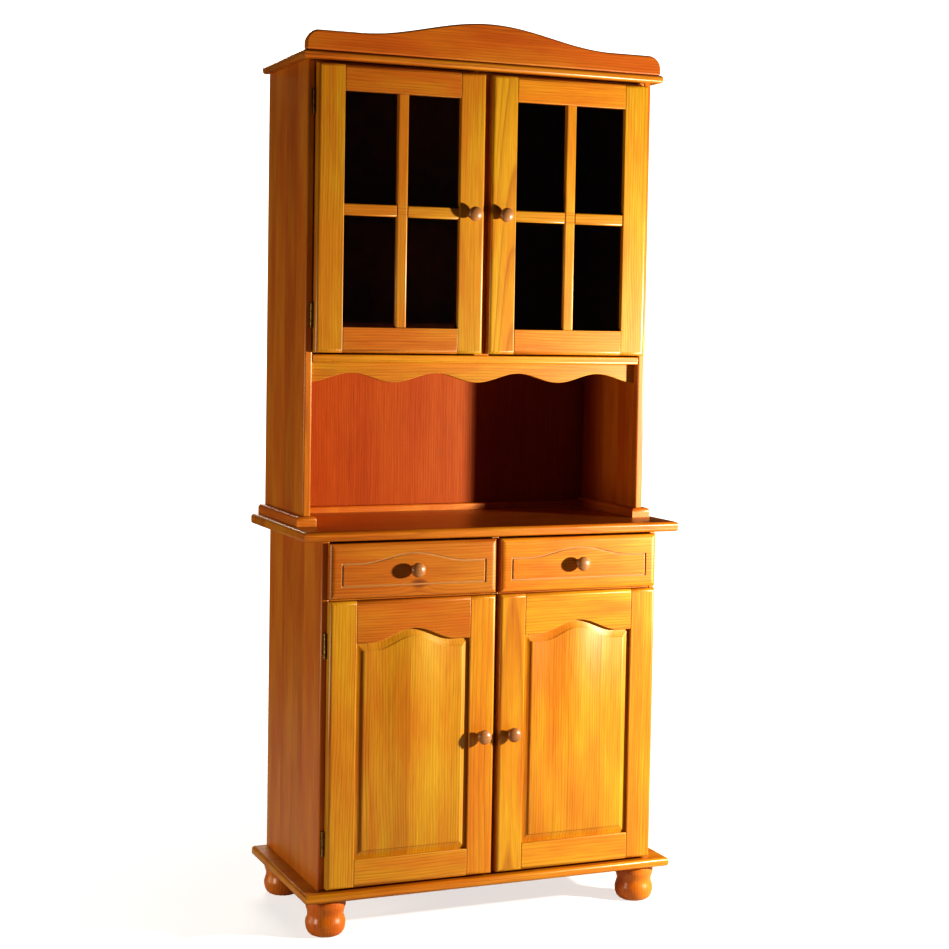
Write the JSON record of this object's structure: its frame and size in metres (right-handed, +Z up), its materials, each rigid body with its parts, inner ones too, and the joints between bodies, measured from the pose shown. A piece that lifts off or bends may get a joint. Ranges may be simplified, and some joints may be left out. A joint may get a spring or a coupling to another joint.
{
  "type": "pantry cabinet",
  "caption": "Pine pantry cabinet: a glazed hutch over an open niche, on a buffet with drawers, arched panel doors and turned feet; doors swing and drawers slide.",
  "frame": {"origin": "on the floor, at the centre of the cabinet's footprint box", "axes": "+Z up, +X to the right seen from the front, the doors and drawers face -Y and the wall side faces +Y"},
  "size_m": [0.892, 0.4274, 1.9725],
  "materials": {
    "pine_front": "honey lacquered pine, satin",
    "pine_carcass": "amber lacquered pine, satin",
    "pine_pale": "pale lacquered turned pine",
    "pine_inside": "bare sanded pine",
    "back_sheet": "stained veneered sheet",
    "brass": "aged brass",
    "steel": "plain steel pin",
    "glass": "clear window glass"
  },
  "bodies": {
    "carcass": {"base_board": "pine_front", "bun_feet": "pine_carcass", "lower_left_side": "pine_carcass", "lower_right_side": "pine_carcass", "lower_back_panel": "back_sheet", "lower_divider": "pine_carcass", "drawer_rails": "pine_carcass", "drawer_runners": "pine_inside", "lower_shelves": "pine_inside", "shelf_pins": "steel", "worktop": "pine_front", "hutch_base_rails": "pine_front", "upper_left_side": "pine_carcass", "upper_right_side": "pine_carcass", "upper_back_panel": "back_sheet", "ledge_board": "pine_front", "apron": "pine_front", "upper_shelf": "pine_inside", "upper_post": "pine_carcass", "hutch_top_board": "pine_carcass", "cornice": "pine_front", "crest": "pine_front", "hinge_fixed_leaves": "brass", "door_catches": "pine_inside"},
    "upper_left_door": {"upper_left_stiles": "pine_front", "upper_left_rails": "pine_front", "upper_left_bars": "pine_front", "upper_left_glass": "glass", "upper_left_knob": "pine_pale", "upper_left_hinges": "brass"},
    "upper_right_door": {"upper_right_stiles": "pine_front", "upper_right_rails": "pine_front", "upper_right_bars": "pine_front", "upper_right_glass": "glass", "upper_right_knob": "pine_pale", "upper_right_hinges": "brass"},
    "lower_left_door": {"lower_left_hinge_stile": "pine_front", "lower_left_lock_stile": "pine_front", "lower_left_top_rail": "pine_front", "lower_left_bottom_rail": "pine_front", "lower_left_panel": "pine_carcass", "lower_left_knob": "pine_pale", "lower_left_hinges": "brass"},
    "lower_right_door": {"lower_right_hinge_stile": "pine_front", "lower_right_lock_stile": "pine_front", "lower_right_top_rail": "pine_front", "lower_right_bottom_rail": "pine_front", "lower_right_panel": "pine_carcass", "lower_right_knob": "pine_pale", "lower_right_hinges": "brass"},
    "left_drawer": {"left_drawer_front": "pine_front", "left_drawer_sides": "pine_inside", "left_drawer_back": "pine_inside", "left_drawer_bottom": "back_sheet", "left_drawer_knob": "pine_pale"},
    "right_drawer": {"right_drawer_front": "pine_front", "right_drawer_sides": "pine_inside", "right_drawer_back": "pine_inside", "right_drawer_bottom": "back_sheet", "right_drawer_knob": "pine_pale"}
  },
  "joints": [
    {"name": "upper_left_door_hinge", "type": "hinge", "parent": "carcass", "child": "upper_left_door", "pos_m": [-0.4, -0.0716, 1.555], "axis": [0, 0, -1], "range_deg": [0, 110]},
    {"name": "upper_right_door_hinge", "type": "hinge", "parent": "carcass", "child": "upper_right_door", "pos_m": [0.4, -0.0716, 1.555], "axis": [0, 0, 1], "range_deg": [0, 110]},
    {"name": "lower_left_door_hinge", "type": "hinge", "parent": "carcass", "child": "lower_left_door", "pos_m": [-0.3915, -0.1656, 0.4145], "axis": [0, 0, -1], "range_deg": [0, 110]},
    {"name": "lower_right_door_hinge", "type": "hinge", "parent": "carcass", "child": "lower_right_door", "pos_m": [0.3915, -0.1656, 0.4145], "axis": [0, 0, 1], "range_deg": [0, 110]},
    {"name": "left_drawer_slide", "type": "slide", "parent": "carcass", "child": "left_drawer", "axis": [0, -1, 0], "range_m": [0, 0.25]},
    {"name": "right_drawer_slide", "type": "slide", "parent": "carcass", "child": "right_drawer", "axis": [0, -1, 0], "range_m": [0, 0.25]}
  ]
}
